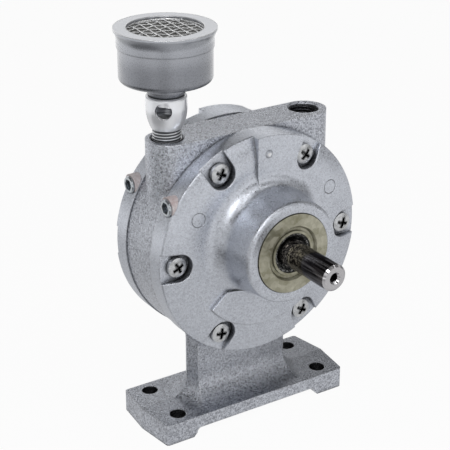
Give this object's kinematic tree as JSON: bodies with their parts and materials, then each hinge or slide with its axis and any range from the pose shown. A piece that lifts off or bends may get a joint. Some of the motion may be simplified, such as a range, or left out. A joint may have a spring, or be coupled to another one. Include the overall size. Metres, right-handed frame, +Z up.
{
  "type": "air vane motor",
  "caption": "Foot mounted rotary vane air motor with eccentric slotted rotor, sliding vanes, domed end caps, plain output shaft, top ports and an exhaust muffler",
  "frame": {"origin": "middle of the four foot holes, on the foot's underside", "axes": "+X along the foot, -Y out along the output shaft, +Z up"},
  "size_m": [0.1168, 0.1163, 0.202],
  "materials": {
    "body_cast": "sand cast, rough",
    "cap_cast": "cast, fine grain, satin",
    "rotor_steel": "ground",
    "shaft_steel": "ground, polished",
    "vane_composite": "machined composite",
    "bearing_steel": "ground",
    "cage_steel": "pressed sheet",
    "seal_metal": "yellow plated sheet, mottled",
    "seal_rubber": "moulded rubber",
    "screw_zinc": "zinc plated",
    "plug_zinc": "zinc plated",
    "sealant": "dried thread sealant",
    "stem_zinc": "bright zinc",
    "muffler_satin": "satin silver",
    "screen_wire": "woven wire",
    "felt": "felt"
  },
  "bodies": {
    "housing": {"motor_body": "body_cast", "front_cap": "cap_cast", "rear_cap": "cap_cast", "seal_case": "seal_metal", "seal_lip": "seal_rubber", "seal_spring": "bearing_steel", "rear_bearing_cover": "screw_zinc", "wave_spring": "bearing_steel", "front_bearing_outer_ring": "bearing_steel", "rear_bearing_outer_ring": "bearing_steel", "front_plug": "plug_zinc", "rear_plug": "plug_zinc", "front_plug_sealant": "sealant", "rear_plug_sealant": "sealant", "muffler_stem": "stem_zinc", "muffler_tube": "stem_zinc", "muffler_cup": "muffler_satin", "muffler_lid": "muffler_satin", "muffler_screen": "screen_wire", "muffler_felt": "felt", "front_screw_1": "screw_zinc", "front_screw_2": "screw_zinc", "front_screw_3": "screw_zinc", "front_screw_4": "screw_zinc", "front_screw_5": "screw_zinc", "front_screw_6": "screw_zinc", "rear_screw_1": "screw_zinc", "rear_screw_2": "screw_zinc", "rear_screw_3": "screw_zinc", "rear_screw_4": "screw_zinc", "rear_screw_5": "screw_zinc", "rear_screw_6": "screw_zinc", "front_dowel_1": "bearing_steel", "front_dowel_2": "bearing_steel", "rear_dowel_1": "bearing_steel", "rear_dowel_2": "bearing_steel"},
    "rotor_group": {"rotor": "rotor_steel", "shaft": "shaft_steel", "front_bearing_inner_ring": "bearing_steel", "rear_bearing_inner_ring": "bearing_steel"},
    "front_cage_set": {"front_bearing_balls": "bearing_steel", "front_bearing_cage": "cage_steel"},
    "rear_cage_set": {"rear_bearing_balls": "bearing_steel", "rear_bearing_cage": "cage_steel"},
    "vane_1_body": {"vane_1": "vane_composite"},
    "vane_2_body": {"vane_2": "vane_composite"},
    "vane_3_body": {"vane_3": "vane_composite"},
    "vane_4_body": {"vane_4": "vane_composite"}
  },
  "joints": [
    {"name": "rotor_spin", "type": "hinge", "parent": "housing", "child": "rotor_group", "pos_m": [0, -0.0016, 0.1002], "axis": [0, -1, 0], "continuous": true},
    {"name": "front_cage_spin", "type": "hinge", "parent": "housing", "child": "front_cage_set", "pos_m": [0, -0.0304, 0.1002], "axis": [0, -1, 0], "continuous": true},
    {"name": "rear_cage_spin", "type": "hinge", "parent": "housing", "child": "rear_cage_set", "pos_m": [0, 0.0272, 0.1002], "axis": [0, -1, 0], "continuous": true},
    {"name": "vane_1_slide", "type": "slide", "parent": "rotor_group", "child": "vane_1_body", "axis": [0.7071, 0, 0.7071], "range_m": [0, 0.00145]},
    {"name": "vane_2_slide", "type": "slide", "parent": "rotor_group", "child": "vane_2_body", "axis": [-0.7071, 0, 0.7071], "range_m": [0, 0.00145]},
    {"name": "vane_3_slide", "type": "slide", "parent": "rotor_group", "child": "vane_3_body", "axis": [0.7071, 0, 0.7071], "range_m": [-0.0084, 0]},
    {"name": "vane_4_slide", "type": "slide", "parent": "rotor_group", "child": "vane_4_body", "axis": [0.7071, 0, -0.7071], "range_m": [0, 0.00145]}
  ],
  "couplings": [
    {"joint": "front_cage_spin", "follows": "rotor_spin", "ratio": 0.3812},
    {"joint": "rear_cage_spin", "follows": "rotor_spin", "ratio": 0.3812}
  ]
}
